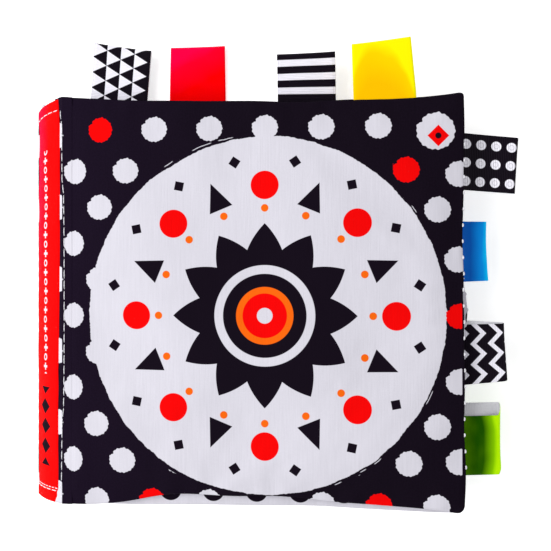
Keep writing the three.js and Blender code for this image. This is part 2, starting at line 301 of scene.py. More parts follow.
# Colours, linear
WHITE = (0.6, 0.585, 0.65)
BLACK = (0.0059, 0.0031, 0.0079)
# The cover black as lit by a painted sheen, used towards the hinge
SHEEN_LIT_BLACK = (0.0082, 0.004, 0.0125)
RED = (0.78, 0.001, 0.0012)
SPINE_TINT = (0.75, 0.001, 0.04)
ORANGE = (0.8, 0.12, 0.004)
YELLOW = (0.8, 0.5, 0.004)
BLUE = (0.003, 0.2, 0.62)
GREEN = (0.12, 0.46, 0.004)
RIBBON_WHITE = (0.93, 0.91, 1)
RIBBON_REVERSE = (0.78, 0.78, 0.82)
THREAD_WHITE = (0.78, 0.77, 0.82)
THREAD_BLACK = (0.012, 0.011, 0.014)
WADDING_WHITE = (0.82, 0.8, 0.76)
FILM_GREY = (0.66, 0.7, 0.76)

YARN_PITCH = 0.42


def woven(finish, colour, strength=0.07):
    """A printed cloth's material, with streaks, crossing threads, slubs and a few soft creases."""
    streaks = finish.noise(0.55, 14, 3, 1.7) + finish.noise(34, 40, 2, 5.9)
    worn = finish.shade(colour, (streaks - 1) * strength * 2 + 1)
    threads = (finish.x * (WHOLE_TURN / YARN_PITCH)).sine() * (finish.y * (WHOLE_TURN / YARN_PITCH)).sine()
    slubs = finish.noise(0.5, 9, 3) + finish.noise(9, 0.5, 3, 7.3)
    creases = finish.noise(14, 22, 2, 3.1) * 5
    return finish.made(worn, threads * 0.35 + slubs * 1.6 + creases, 0.05)


def ragged_dot(x, y, radius):
    """How far a place is from the rim of a hand-cut dot, with a nick at its upper left."""
    angle = turn(x, y)
    ripple = (angle * 13 + 0.8).sine() * 0.018 + (angle * 22 + 2.1).sine() * 0.018
    point = angle.near(1.4, 0.12, 0.2) * 0.05 + angle.near(2.8, 0.08, 0.15) * 0.05
    nick = angle.near(2.52, 0.08, 0.1) * 0.15
    return reach(x * 0.985, y * 1.025) - (ripple + point - nick + 1) * radius


def at_dot(finish, place, radius):
    return ragged_dot(finish.x - place[0], finish.y - place[1], radius).below(0)


def polka_dots(finish):
    """Staggered dots. The end rows stand further out, the lower rows spread, the fore column is uneven."""
    u, v = finish.x, finish.y
    page = u.above(0)
    y = v - v.above(56.5, 1) * 1.9 * page + v.below(-66.5, 1) * 1.7 * page
    spread = (v * (-1 / 35) - 0.3).clip() * (u * (1 / 14)).clip() * 0.024
    spread = spread * (1 - v.below(-66.5) * u.above(76) * 0.8)
    drawn = (v * 0.04 - 0.9).clip() * 1.1 - (1 - v * v * (1 / 3600)).clip() * 0.5
    drawn = drawn * (u * 0.25).clip() * (1.5 - u * (1 / 12)).clip()
    margin = u.below(-1.4) * (u * 0.5 + 3.85)
    x = u - (u - 76) * spread - margin - drawn
    rows = []
    for first_x, first_y in (EVEN_ROW, ODD_ROW):
        place = (x - first_x).wrap(DOT_PITCH), (y - first_y).wrap(2 * ROW_PITCH)
        rows.append(ragged_dot(*place, DOT_RADIUS))
    lattice = rows[0].node("MINIMUM", rows[1]).below(0) * v.below(70)
    dots = lattice * (1 - u.above(123.4) * v.size().below(66))
    dots = reduce(either, [dots, *(at_dot(finish, place, DOT_RADIUS) for place in FORE_DOTS)])
    clear = reach(u - BIG_DOT[0], v - BIG_DOT[1]).above(11)
    dots = either(dots * clear, at_dot(finish, BIG_DOT, BIG_DOT_RADIUS))
    return dots * either(u.below(PRINT_END), v.above(-15))


def burst(finish, x, y):
    """The cover's middle figure: a black star burst round white, black and red rings."""
    radius = reach(x, y)
    points = (turn(x, y) * (12 / WHOLE_TURN)).fold(1) * 2
    figure = finish.mix(WHITE, BLACK, (radius - 34 + points * 9).below(0))
    for limit, colour in ((18.6, WHITE), (15.4, BLACK), (10.6, ORANGE), (8.2, RED), (2.9, WHITE)):
        figure = finish.mix(figure, colour, radius.below(limit))
    return figure


def blob(out, side, size):
    return reach(out, side).below(size)


def wedge(out, side, size):
    return (out.size() - size).below(0) * (side.size() * 1.15 - (size - out) * 0.5).below(0)


def lozenge(out, side, size):
    return (out.size() + side.size()).below(size)


# Equal small shapes in rings round the middle figure: how many, the first one's angle, the ring's radius,
# the shape, its size and its colour
SHAPE_RINGS = (
    (8, 0, 48, blob, 5.2, RED),
    (8, pi / 8, 47.5, wedge, 5.2, BLACK),
    (16, pi / 16, 57.5, lozenge, 2.3, BLACK),
    (16, 0, 39.6, blob, 1.4, ORANGE),
)


def dotted_cloth():
    """Black cover cloth with white and a few red dots, a large white disc and its middle figure."""
    finish = Finish("black_dotted_cloth", 0.84, 0.035)
    x = finish.x - DISC["x"]
    y = finish.y - DISC["y"]
    radius = reach(x, y)
    angle = turn(x, y)
    joined = either(reach(x, y - 69.4).below(7), reach(x + 62, y.size() - 13.45).below(6.5))
    outside = either(radius.above(DISC["radius"] + 1.3), joined)
    red = reduce(either, [reach(finish.x - dot[0], finish.y - dot[1]).below(6.5) for dot in RED_DOTS])
    # Painted sheen: the black grows lighter towards the hinge, over the first 70 mm from it
    painted_sheen_black = finish.mix(BLACK, SHEEN_LIT_BLACK, (1 - finish.x * (1 / 70)).clip())
    ground = finish.shade(painted_sheen_black, finish.noise(0.6, 0.6, 2, 8.8) * 0.7 + 0.65)
    colour = finish.mix(ground, finish.mix(WHITE, RED, red), polka_dots(finish) * outside)
    brush = finish.noise(6, 6, 3, 2.2) * 1.5 + finish.noise(1.1, 1.1, 2, 4.4) * 0.5 - 1
    disc = (radius - brush + angle.near(2, 0.2, 0.15) * 0.5).below(DISC["radius"])
    stroke = reduce(either, [angle.near(middle, half, 0.01) for middle, half in STROKES])
    stroke = stroke * (radius - brush * 0.5 - DISC["radius"] - 0.75).size().below(0.13)
    colour = finish.mix(colour, WHITE, stroke)
    figure = burst(finish, x, y)
    for count, first, middle, shape, size, ink in SHAPE_RINGS:
        sector = (angle - first).wrap(WHOLE_TURN / count)
        out = radius * (sector + pi / 2).sine() - middle
        figure = finish.mix(figure, ink, shape(out, radius * sector.sine(), size))
    colour = finish.mix(colour, figure, disc)
    fore_dot = at_dot(finish, RED_FORE_DOT, DOT_RADIUS * 0.97) * finish.x.below(PRINT_END)
    colour = finish.mix(colour, RED, fore_dot)
    spot_x, spot_y = finish.x - BIG_DOT[0] - 0.9, finish.y - BIG_DOT[1] + 1.6
    colour = finish.mix(colour, RED, lozenge(spot_x, spot_y, 3.9))
    colour = finish.mix(colour, BLACK, blob(spot_x, spot_y, 1.1))
    return woven(finish, colour)


def red_cloth():
    """The spine's red cloth with a column of small white marks and a shorter one of larger black marks."""
    finish = Finish("red_cloth", 0.8, 0.02)
    x = finish.x + 0.1
    y = finish.y
    far = reach(x, y.wrap(MARK_PITCH))
    along = (y - MARK_PITCH / 2).fold(MARK_PITCH)
    ring = far.below(1.35) * far.above(0.7)
    bars = either(x.size().below(1.5) * along.below(0.45), x.size().below(0.45) * along.below(1.35))
    large = ((x + 0.3).size() * 0.8 + (y + 48).fold(7.6)).below(3.1) * y.near(-48, 15)
    tint = finish.mix(RED, SPINE_TINT, (1 - (finish.x + 7) * (1 / 9)).clip() * (y * 0.02).clip())
    colour = finish.mix(tint, WHITE, either(ring, bars) * y.near(15, 43))
    return woven(finish, finish.mix(colour, BLACK, large), 0.05)


# Inner pages: one plain high-contrast pattern each, a main mask and a smaller one of another colour

def stripes(x, y):
    wave = x + (y * (WHOLE_TURN / 46)).sine() * 5
    return wave.fold(24).below(6), (wave + 12).fold(72).below(6)


def chequers(x, y):
    square = (x.fold(36) - 9) * (y.fold(36) - 9)
    return square.above(0, 0.8), x.fold(36).below(4.5) * y.fold(36).below(4.5)


def rings(x, y):
    radius = reach(x, y)
    return radius.fold(18).below(4.5), radius.below(9)


def zigzag(x, y):
    wave = y + x.fold(28)
    return wave.fold(24).below(6), (wave + 12).fold(72).below(6)


def rays(x, y):
    sector = (turn(x, y) * (20 / WHOLE_TURN)).fold(1)
    return sector.below(0.25, 0.01), reach(x, y).below(17)


def diamonds(x, y):
    far = x.fold(30) + y.fold(30)
    return far.below(10.5), far.below(4.6)


def rounds(x, y):
    radius = reach(x.wrap(37), y.wrap(37))
    return radius.below(15) * radius.above(9), radius.below(5)


def spots(x, y):
    """Round dots with one of their rows close to the foot of the page."""
    near = reach((x + 1.3).wrap(16.2), (y + 69.3).wrap(16.2)).below(4.1)
    return near * y.below(60), reach(x + 1.3, y - 3.6).below(13)


def plaits(x, y):
    lean = (x + y).fold(30).below(3.4)
    back = (x - y).fold(30).below(3.4)
    return either(lean, back), lean * back


def page_cloth(name, motif, ground, ink, accent, framed=True):
    finish = Finish("page_" + name, 0.86)
    x = finish.x - LEAF["width"] / 2
    main, small = motif(x, finish.y)
    if framed:
        edge = either(x.size() - FRAME_HALF, finish.y.size() - FRAME_HALF)
        inside = edge.below(0)
        main, small = either(main * inside, edge.near(3, 0.7)), small * inside
    return woven(finish, finish.mix(finish.mix(ground, ink, main), accent, small))


def thread_finish(name, colour):
    """Twisted sewing thread: fine slanting plies."""
    finish = Finish(name, 0.6, 0.15)
    plies = (finish.x * 5 + finish.y * 9).sine()
    # The plies' colour follows their bump: lighter on the crests and darker between them, as painted shade
    return finish.made(finish.shade(colour, plies * 0.09 + 1), plies, 0.05)


def filling_finish(name, colour, roughness, specular, grain, depth):
    finish = Finish(name, roughness, specular)
    shaded = finish.shade(colour, finish.noise(grain, grain, 4) * 0.2 + 0.9)
    return finish.made(shaded, finish.noise(grain / 2, grain, 4, 2.6), depth)


# Ribbons: x runs out from the seam and back, y runs across the ribbon

def ribs(finish):
    """The height of grosgrain: fine ribs across the ribbon, with woven selvedges."""
    selvedge = (finish.y.size() - 10.4).size().below(0.25, 0.2)
    return (finish.x * (WHOLE_TURN / 0.62)).sine() + finish.noise(0.3, 2.5, 2) * 0.8 - selvedge * 1.5


def grosgrain(name, mask, dim=0.0):
    """Printed ribbon, darkened near the seam by painted shade, by the given share."""
    finish = Finish(name, 0.62, 0.06)
    colour = finish.mix(BLACK, RIBBON_WHITE, mask(finish.x, finish.y))
    # Painted shade: the ribbon is darker towards the seam, where the cover shades it
    light = 1 - (1 - ((finish.x - 4) * (1 / 8)).clip()) * dim
    colour = finish.shade(colour, (finish.noise(1.4, 5, 3) * 0.16 + 0.92) * light)
    return finish.made(colour, ribs(finish), 0.09)


def triangle_mask(x, y):
    """Four columns of triangles, base to the left, beside a plain right margin."""
    across = 11 - y
    column = (across + 0.1) * (1 / 5.3)
    row = ((x - 7.8) * (1 / 5.6) + (column.node("FLOOR") - 1) * 0.5).fold(1)
    return (row * 2 + column.node("FRACT")).below(0.99, 0.04) * across.below(21)


def stripe_mask(x, y):
    return (x - 6.55).fold(5.3).below(1.27) * x.above(3.6)


def dot_mask(x, y):
    far = reach((x - 0.2).wrap(5.36), (y + 0.25).wrap(6.7))
    return far.below(1.76) * (1 - far.near(0.85, 0.12) * 0.3)


def chevron_mask(x, y):
    """White zigzags running across the ribbon."""
    return (x + y.fold(7.65) - 0.85).fold(6.45).below(1.12)


def satin(name, deep, bright, glow, start, run, lean=0, edge_highlight=0, specular=0.1, seam_highlight=0.0):
    """Satin whose colour carries painted light: deep is its painted shade near the seam and bright its lit
    colour, with the glow colour as a painted highlight towards the fold. Start and run say where the
    painted light grows, lean slants it over the width, and the edge and seam shares paint highlights along
    both edges and on the seam."""
    finish = Finish(name, 0.42, specular, bright)
    soft = finish.noise(7, 9, 1) * 0.24 - 0.12
    side = (finish.y * (1 / 11)).size()
    lift = (finish.x - start) * (1 / run) + finish.y * lean + side * side * side * edge_highlight
    lift = (either(lift, (1 - finish.x * (1 / 8)).clip() * seam_highlight) + soft).clip()
    # Painted shade near the seam, the lit colour further out and the glow colour as a painted highlight
    # where the painted light is strongest
    colour = finish.mix(finish.mix(deep, bright, lift), glow, ((lift - 0.72) * 3.2).clip())
    # The yarn streaks are lighter where their bump stands higher: a faint painted sheen
    yarn = finish.noise(12, 0.16, 2)
    return finish.made(finish.shade(colour, yarn * 0.08 + 0.96), yarn + finish.noise(3, 7, 2) * 2, 0.012)


def ribbon_back():
    """The pale reverse of a ribbon."""
    finish = Finish("ribbon_reverse", 0.5, 0.15)
    colour = finish.shade(RIBBON_REVERSE, finish.noise(8, 0.2, 2) * 0.16 + 0.92)
    return finish.made(colour, ribs(finish), 0.05)


# Mesh making

class Place:
    """An origin in millimetres and three axes, which put local points into the row frame."""

    def __init__(self, origin, x_axis, z_axis):
        self.origin = np.array(origin, float)
        self.axes = np.array([x_axis, np.cross(z_axis, x_axis), z_axis], float)

    def put(self, x, y, z):
        return grid(x, y, z) @ self.axes + self.origin


def grid(*values):
    return np.stack(np.broadcast_arrays(*values), -1).astype(float)


JOINTS = {joint["name"]: joint for joint in frame["joints"]}


def joint_place(joint, tilt):
    origin = [value / MM for value in JOINTS[joint]["pos_m"]]
    return Place(origin, (cos(tilt), 0, sin(tilt)), (-sin(tilt), 0, cos(tilt)))


def ease_up(distance, run):
    return np.sin(pi / 2 * np.clip(distance / run, 0, 1))


def smooth(share):
    share = np.clip(share, 0, 1)
    return share * share * (3 - 2 * share)


def lap_tuck(x):
    """How far the lapping margin cloth presses a cover's pad down near the crease."""
    return LAP_TUCK * (1 - smooth((x - LAP_FLAT) / (LAP_END - LAP_FLAT)))


def print_x(x):
    """Where the print lies across the page: the cloth is drawn together near the crease."""
    return x - CREASE_SHRINK * np.maximum(0, CREASE_REACH - x)


def hermite(values, old, new, axis=0):
    """Values along one axis moved to new stations on smooth curves."""
    values = np.moveaxis(values, axis, 0)
    slopes = np.gradient(values, old, axis=0)
    i = np.clip(np.searchsorted(old, new) - 1, 0, len(old) - 2)
    span = (old[i + 1] - old[i])[:, None]
    t = np.clip((new - old[i])[:, None] / span, 0, 1)
    moved = values[i] + (values[i + 1] - values[i]) * smooth(t)
    moved += slopes[i] * span * (t ** 3 - 2 * t ** 2 + t) + slopes[i + 1] * span * (t ** 3 - t ** 2)
    return np.moveaxis(moved, 0, axis)


def ripples(seed, length, count=16):
    """A seeded ripple over the page, about one high, made of waves in many directions."""
    draw = np.random.default_rng(seed)
    turns = draw.uniform(0, WHOLE_TURN, count)
    phases = draw.uniform(0, WHOLE_TURN, count)
    lengths = length * draw.uniform(0.75, 1.5, count)

    def ripple(x, y):
        total = 0
        for angle, phase, wave in zip(turns, phases, lengths):
            total = total + np.sin(WHOLE_TURN * (x * cos(angle) + y * sin(angle)) / wave + phase)
        return total / sqrt(count / 2)

    return ripple


def around(rows, columns):
    """The rows and the columns of a grid's border, once round."""
    foot = [(0, i) for i in range(columns)]
    fore = [(j, columns - 1) for j in range(1, rows)]
    head = [(rows - 1, i) for i in range(columns - 2, -1, -1)]
    bound = [(j, 0) for j in range(rows - 2, 0, -1)]
    return tuple(np.array(foot + fore + head + bound).T)


def make_mesh(name, points, faces, uvs, materials, kinds=None):
    """A smooth mesh object in metres, with its print coordinates in millimetres."""
    mesh = bpy.data.meshes.new(name)
    mesh.from_pydata((points * MM).tolist(), [], [list(face) for face in faces])
    layer = mesh.uv_layers.new(name="print")
    corners = np.zeros(len(mesh.loops), np.int32)
    mesh.loops.foreach_get("vertex_index", corners)
    layer.uv.foreach_set("vector", uvs[corners].astype(np.float32).ravel())
    mesh.polygons.foreach_set("use_smooth", np.ones(len(mesh.polygons), bool))
    for material in materials:
        mesh.materials.append(material)
    if kinds is not None:
        mesh.polygons.foreach_set("material_index", np.minimum(kinds, len(materials) - 1).astype(np.int32))
    piece = bpy.data.objects.new(name, mesh)
    bpy.context.scene.collection.objects.link(piece)
    return piece


def closed_mesh(name, upper, lower, uv, materials, rims=None):
    """A closed body from two grids, joined by loops of points round their border or by one half way. What
    lies above the middle loop, the seam, takes the first material."""
    rows, columns = upper.shape[:2]
    count = rows * columns
    border = around(rows, columns)
    if rims is None:
        rims = [(upper[border] + lower[border]) / 2]
    edge = border[0] * columns + border[1]
    points = [upper.reshape(-1, 3), lower.reshape(-1, 3), *rims]
    uvs = [uv.reshape(-1, 2)] * 2 + [uv[border]] * len(rims)
    half = (len(rims) + 1) // 2
    middle_loops = [2 * count + i * len(edge) + np.arange(len(edge)) for i in range(len(rims))]
    loops = [edge, *middle_loops, edge + count]
    index = np.arange(count).reshape(rows, columns)
    cells = [index[:-1, :-1], index[:-1, 1:], index[1:, 1:], index[1:, :-1]]
    top = np.stack([cell.ravel() for cell in cells], 1)
    faces = [top, top[:, ::-1] + count]
    kinds = [np.zeros(len(top)), np.ones(len(top))]
    for i, (above, below) in enumerate(zip(loops[:-1], loops[1:])):
        faces.append(np.stack([above, below, np.roll(below, -1), np.roll(above, -1)], 1))
        kinds.append(np.full(len(edge), 0 if i < half else 1))
    points, faces, uvs, kinds = map(np.concatenate, (points, faces, uvs, kinds))
    piece = make_mesh(name, points, faces, uvs, materials, kinds)
    return piece if materials else piece


def unit(vectors):
    return vectors / np.maximum(np.linalg.norm(vectors, axis=-1, keepdims=True), TINY)


def cloth_strip(name, outer, thickness, uv, materials):
    """A closed strip of cloth under a grid of outer points. Its thickness may vary with the column."""
    normal = unit(np.cross(np.gradient(outer, axis=1), np.gradient(outer, axis=0)))
    thickness = np.broadcast_to(np.array(thickness, float), outer.shape[:2])[:, :, None]
    lower = outer - normal * thickness
    at = around(*outer.shape[:2])
    inner = tuple(np.clip(line, 1, count - 2) for line, count in zip(at, outer.shape))
    rim = (outer[at] + lower[at]) / 2 + unit(outer[at] - outer[inner]) * thickness[at] * 0.3
    return closed_mesh(name, outer, lower, uv, materials, [rim])


def bend(piece):
    """Bakes the piece's placing into its mesh."""
    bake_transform(piece)


# Panels

class Panel:
    """A padded panel. Its rises are how far its lower and its upper face stand out."""

    def __init__(self, body, place, size, gap, rises, edges, dent, seed):
        self.body = body
        self.place = place
        self.width = size["width"]
        self.half = size["height"] / 2
        self.gap = gap
        self.rises = rises
        self.head, self.foot, self.fore = edges
        self.dent = dent
        self.broad = ripples(seed, BROAD_WAVE)
        self.slow = ripples(seed + 1, SLOW_WAVE)
        self.gathers = ripples(seed + 2, GATHER_WAVE)
        self.swell = None

    def stations(self, step=PAGE_STEP, edge=EDGE_STATIONS):
        last = edge[-1]
        first = self.gap + BOUND_RUN / 8
        inner = np.linspace(first, self.width - last, int((self.width - last - first) / step))
        columns = np.r_[self.gap, inner, self.width - np.array(edge[-2::-1])]
        middle = np.linspace(last - self.half, self.half - last, int((2 * self.half - 2 * last) / step))
        ends = self.half - np.array(edge[-2::-1])
        rows = np.r_[-ends[::-1], middle, ends]
        return np.meshgrid(columns, rows)

    def outline(self, x, y):
        """Where the flat page comes to lie, with round corners and drawn-in edges."""
        corner = np.where(y > 0, HEAD_CORNER, FOOT_CORNER)
        beyond_x = x - (self.width - corner)
        beyond_y = np.abs(y) - (self.half - corner)
        turned = (beyond_x > 0) & (beyond_y > 0)
        far = np.maximum(np.hypot(beyond_x, beyond_y), TINY)
        shrink = np.maximum(beyond_x, beyond_y) / far
        px = np.where(turned, self.width - corner + beyond_x * shrink, x)
        py = np.where(turned, np.sign(y) * (self.half - corner + beyond_y * shrink), y)
        places = np.array(EDGE_PLACES, float)
        head, foot = (hermite(np.array(line, float)[:, None], places, px.ravel()).reshape(px.shape)
                      for line in (self.head, self.foot))
        side = (py / self.half) * np.where(py > 0, head, foot)
        fore = sum(depth * np.exp(-(((py - at) / run) ** 2)) for at, depth, run in self.fore)
        rough = ROUGH_EDGE * self.slow(px, py)
        fore_shift = (rough - fore) * (px / self.width) ** 6
        side_shift = rough * (np.abs(py) / self.half) ** 6 * ease_up(px - self.gap, 10)
        return px + fore_shift, py - side + side_shift

    def free(self, x, y):
        """The distance from the nearest of the three free edges."""
        return np.minimum(self.width - x, self.half - np.abs(y))

    def crown(self, x, y):
        spread = BOUND_CROWN_SHARE + (FORE_CROWN_SHARE - BOUND_CROWN_SHARE) * x / self.width
        return np.minimum(ease_up(self.free(x, y), CROWN_RUN), ease_up(x - self.gap, BOUND_RUN)) * spread

    def relief(self, x, y):
        """Dents, slow waves and the gathers that the seams draw into the cloth."""
        bound = ease_up(x - self.gap, 18)
        waves = self.dent * self.broad(x, y) * bound * ease_up(self.free(x, y), 14)
        crimp = lambda d: np.exp(-d / 4.5) * ease_up(d, 1.4)
        gathers = crimp(self.half - np.abs(y)) * self.gathers(x, y / 5) * bound
        gathers = gathers + crimp(self.width - x) * self.gathers(x / 5 + 90, y)
        return waves + GATHER_HEIGHT * gathers

    def face(self, x, y, upper):
        """The height of a face's outside, with its rounded lip at the seam and its tuck at the crease."""
        rise = self.rises[upper]
        height = SEAM_HALF * (0.5 + 0.5 * ease_up(self.free(x, y), LIP_RUN)) + rise * self.crown(x, y)
        if self.gap != LEAF_CREASE_GAP:
            height = height - lap_tuck(x)
        if rise:
            height = height + (1 if upper else -1) * self.relief(x, y)
            if self.swell is not None:
                height = height + self.swell(x, y, upper)
        return height if upper else -height

    def pad(self, name, materials):
        x, y = self.stations()
        border = around(*x.shape)
        bx, by = x[border], y[border]
        rims = []
        for inset, height in PAD_LIPS:
            drawn_x = bx - inset * (bx >= self.width - TINY)
            drawn_y = by - inset * np.sign(by) * (np.abs(by) >= self.half - TINY)
            rims.append(self.place.put(*self.outline(drawn_x, drawn_y), height))
        px, py = self.outline(x, y)
        faces = [self.place.put(px, py, self.face(x, y, upper)) for upper in (True, False)]
        return closed_mesh(name, *faces, grid(print_x(px), py), materials, rims)


def broad(values, width=9):
    """The values with their small folds smoothed away."""
    kernel = np.ones(width) / width
    for axis in (0, 1):
        values = np.apply_along_axis(
            lambda line: np.convolve(np.pad(line, width // 2, mode="edge"), kernel, "valid"), axis, values)
    return values


def swell_by_cloth(panel, cap):
    """Puffs a coarse copy of the panel as cloth, and returns its two faces' folds, held to the cap."""
    x, y = panel.stations(SIM_STEP, SIM_EDGE)
    count = x.size
    px, py = panel.outline(x, y)
    heights = [panel.face(x, y, upper) * SIM_START for upper in (True, False)]
    pad = closed_mesh("swelling", *(grid(px, py, height) for height in heights), grid(x, y), [])
    places = np.r_[x.ravel(), x.ravel(), x[around(*x.shape)]]
    rim = np.arange(2 * count, len(places))
    held = {"bound": np.nonzero(places < panel.gap + SIM_BOUND)[0], "seam": rim}
    for group, points in held.items():
        pad.vertex_groups.new(name=group).add(points.tolist(), 1.0, "REPLACE")
    cloth = pad.modifiers.new("cloth", "CLOTH")
    for setting, value in SIM_CLOTH.items():
        setattr(cloth.settings, setting, value)
    cloth.settings.effector_weights.gravity = 0
    cloth.collision_settings.use_collision = False
    scene = bpy.context.scene
    for step in range(1, SIM_FRAMES + 1):
        scene.frame_set(step)
    moved = np.zeros(len(places) * 3, np.float32)
    puffed = pad.evaluated_get(bpy.context.evaluated_depsgraph_get())
    puffed.data.vertices.foreach_get("co", moved)
    moved = moved.reshape(-1, 3) / MM
    scene.frame_set(1)
    bpy.data.objects.remove(pad)
    rises = {}
    for upper, start, height in ((True, 0, heights[0]), (False, count, -heights[1])):
        shift = moved[start : start + count, 2].reshape(x.shape)
        shift = (shift if upper else -shift) - height
        folds = shift - broad(shift)
        rises[upper] = cap * np.tanh(folds / np.percentile(np.abs(folds), 95) * 1.2)

    def swell(fx, fy, upper):
        rise = hermite(rises[upper], y[:, 0], fy[:, 0])
        rise = hermite(rise, x[0], fx[0], 1)
        return rise * ease_up(panel.free(fx, fy), 2.5) * ease_up(fx - panel.gap - SIM_BOUND, 8)

    return swell


back_place = joint_place("back_crease_fold", 0)
front_place = joint_place("front_crease_fold", FRONT_TILT)
slant = front_place.origin - back_place.origin
SPINE_LENGTH = hypot(slant[2], slant[0])
spine_place = joint_place("back_crease_fold", atan2(slant[2], slant[0]))

PANELS = {
    "front_cover": Panel("front_cover", front_place, COVER, FRONT_CREASE_GAP, (CROWN_HEIGHT, CROWN_HEIGHT),
                         (COVER_HEAD, COVER_FOOT, COVER_FORE), 0.22, 11),
    "back_cover": Panel("back_cover", back_place, COVER, BACK_CREASE_GAP, (0, 2 * CROWN_HEIGHT),
                        (BACK_EDGE, BACK_EDGE, PLAIN_FORE), 0.12, 23),
}
for i in range(LEAF_COUNT):
    name = "leaf_%d" % (LEAF_COUNT - i)
    edges = LEAF_HEAD, LEAF_FOOT, FIRST_LEAF_FORE if name == "leaf_1" else PLAIN_FORE
    place = joint_place(name + "_turn", LOWEST_LEAF_TILT + LEAF_TILT * i)
    PANELS[name] = Panel(name, place, LEAF, LEAF_CREASE_GAP, (CROWN_HEIGHT, CROWN_HEIGHT), edges, 0.08,
                         37 + 5 * i)

cover_cloth = dotted_cloth()
spine_cloth = red_cloth()
lining_cloth = woven(Finish("page_cloth_light", 0.88), WHITE)
white_thread = thread_finish("white_thread", THREAD_WHITE)
black_thread = thread_finish("black_thread", THREAD_BLACK)
pale_back = ribbon_back()

# The pages above and below each panel
PAGES = {
    "front_cover": (None, ("rays", rays, WHITE, BLACK, RED)),
    "leaf_1": (("spots", spots, WHITE, BLACK, YELLOW, False), ("rings", rings, BLACK, WHITE, RED)),
    "leaf_2": (("zigzag", zigzag, BLACK, WHITE, GREEN), ("rounds", rounds, WHITE, BLACK, RED)),
    "leaf_3": (("diamonds", diamonds, WHITE, BLACK, BLUE), ("stripes", stripes, BLACK, WHITE, YELLOW)),
    "leaf_4": (("plaits", plaits, BLACK, WHITE, RED), ("waves", stripes, WHITE, BLACK, BLUE)),
    "back_cover": (("chequers", chequers, BLACK, WHITE, YELLOW), None),
}

# Pads
puffs = {}
for name, panel in PANELS.items():
    kind = "leaf" if name.startswith("leaf") else name
    if kind not in puffs:
        puffs[kind] = swell_by_cloth(panel, FRONT_FOLDS if name == "front_cover" else OTHER_FOLDS)
    panel.swell = puffs[kind]
    pad = panel.pad(name + "_pad", [page_cloth(*page) if page else cover_cloth for page in PAGES[name]])
    cloths = ("_upper_cloth", "_lower_cloth") if kind == "leaf" else ("_outer_cloth", "_inner_cloth")
    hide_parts(*(name + part for part in cloths))
    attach(pad, name)


# Spine

RED_START = (SPINE_LENGTH - RED_WIDTH) / 2
RED_END = RED_START + RED_WIDTH
COVER_HALF = COVER["height"] / 2
page_rows = np.linspace(-COVER_HALF, COVER_HALF, 110)
spine_ripple = ripples(71, 16)


def bulge(s):
    return SEAM_HALF + SPINE_BULGE * np.sin(pi * s / SPINE_LENGTH)


def arc(place, start, end, count=7):
    """A seam's round path about a place, between two angles."""
    angles = np.linspace(start, end, count)[1:-1]
    return [(place.origin[0] + SEAM_HALF * cos(a), place.origin[2] + SEAM_HALF * sin(a)) for a in angles]


def line_in(place, xs, zs):
    return [(p[0], p[2]) for p in place.put(xs, 0, zs)]


def sweep(name, path, distances, thickness, material, rows=page_rows, middle=None, lift=None, shift=None):
    """A strip of cloth whose section is a path of row-frame points. At each distance and row the lift says
    how far it stands off the path, the shift how far it moves along the book."""
    path = np.array(path)
    distances = np.array(distances)[None, :]
    rows = rows[:, None]
    outer = grid(path[:, 0], rows + (back_place.origin[1] if middle is None else middle), path[:, 1])
    step = unit(np.gradient(path, axis=0))
    if lift is not None:
        height = lift(distances, rows)
        outer[:, :, 0] -= height * step[:, 1]
        outer[:, :, 2] += height * step[:, 0]
    if shift is not None:
        outer[:, :, 1] += shift(distances, rows)
    return cloth_strip(name, outer, thickness, grid(print_x(distances), rows), [material])


def angle_of(vector):
    return atan2(vector[2], vector[0])


def cover_rise(panel, xs, upper=True):
    """The crown of a panel along its middle, without its tuck."""
    height = SEAM_HALF + panel.rises[upper] * panel.crown(xs, 0 * xs)
    return height if upper else -height


def red_span(ys):
    """Where the red cloth's two long edges run, uneven at the head and spread at the hem lines."""
    up = ys / COVER_HALF
    hem = smooth((np.abs(ys) - COVER_HALF + HEM_DEPTH + 0.6) / 0.9)
    start = RED_START - 2.3 * smooth(1.06 - 1.18 * up) + 1.8 * smooth(-9 - 12.5 * up)
    start = start - np.where(ys > 0, 2.2, 1.9) * hem
    flare = hem * smooth((COVER_HALF - np.abs(ys)) / 3) * np.where(ys < 0, 1.3, 0.5)
    return start, RED_END + 0.35 + 0.85 * smooth(up + 0.6) + flare - np.where(ys > 0, 1, 2) * hem


def corner_drop(s, ys):
    """How far the head of the spine sinks towards its back corner."""
    return CORNER_DROP * np.clip(1 - s / SPINE_LENGTH, 0, 1) ** 1.4 * smooth((ys - 30) / (COVER_HALF - 30))


def under_red(s, ys):
    """How far a margin dips to lie under the red cloth's edge."""
    start, end = red_span(ys)
    return RED_TUCK * smooth((s - start) / 0.8 + 0.4) * smooth((end - s) / 0.8 + 0.4)


def bend_in_front(piece):
    bend(piece)


def bend_at_back(piece):
    bend(piece)


def margin_path(s, from_crease, turned, place, height):
    """A margin's path over the spine and the crease to the cover, with its distances and thickness."""
    path = line_in(spine_place, s, bulge(s)) + turned + line_in(place, MARGIN_LAP, height)
    distances = np.r_[from_crease, np.linspace(-0.4, 0.4, len(turned)), MARGIN_LAP]
    thickness = np.where(distances > LAP_FLAT, lap_tuck(distances) + 2 * LAP_PROUD, CLOTH)
    return np.array(path), distances, thickness


